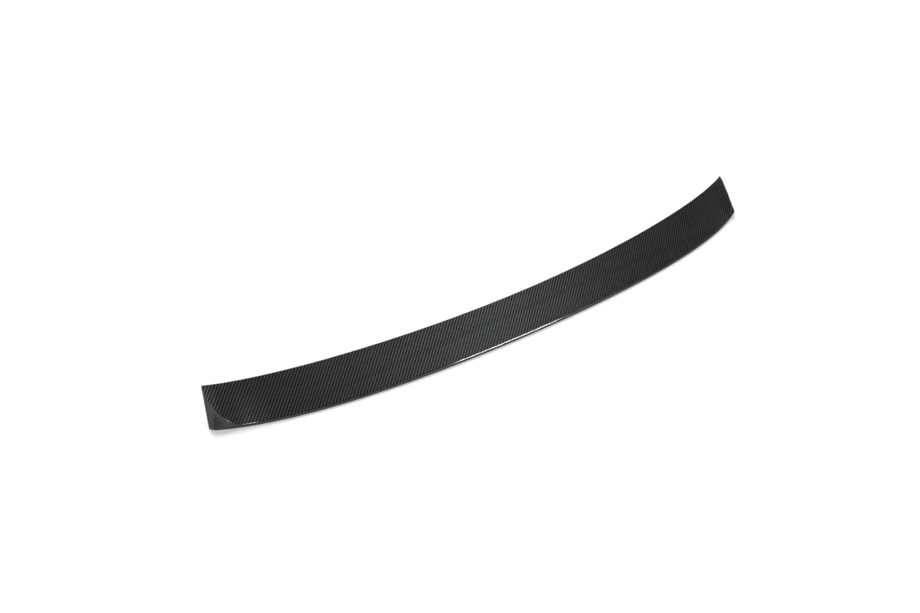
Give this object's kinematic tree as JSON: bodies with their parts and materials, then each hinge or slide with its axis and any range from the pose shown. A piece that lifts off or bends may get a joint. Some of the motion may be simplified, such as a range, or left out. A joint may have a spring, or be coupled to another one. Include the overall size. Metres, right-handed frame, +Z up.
{
  "type": "car boot lid lip spoiler",
  "caption": "Curved boot lid lip spoiler moulded as one thin woven laminate shell, with a sloping face, a thin raised edge, a low front wall and upswept end tips.",
  "frame": {"origin": "middle of the footprint, in the plane of the base edges", "axes": "+X across the car along the spoiler's length, +Y from the front base edge towards the raised rear edge, +Z up from the base"},
  "size_m": [1.1666, 0.134, 0.0604],
  "materials": {
    "laminate": "black twill woven laminate under a glossy clear coat"
  },
  "bodies": {
    "root": {"spoiler_shell": "laminate"}
  },
  "joints": []
}
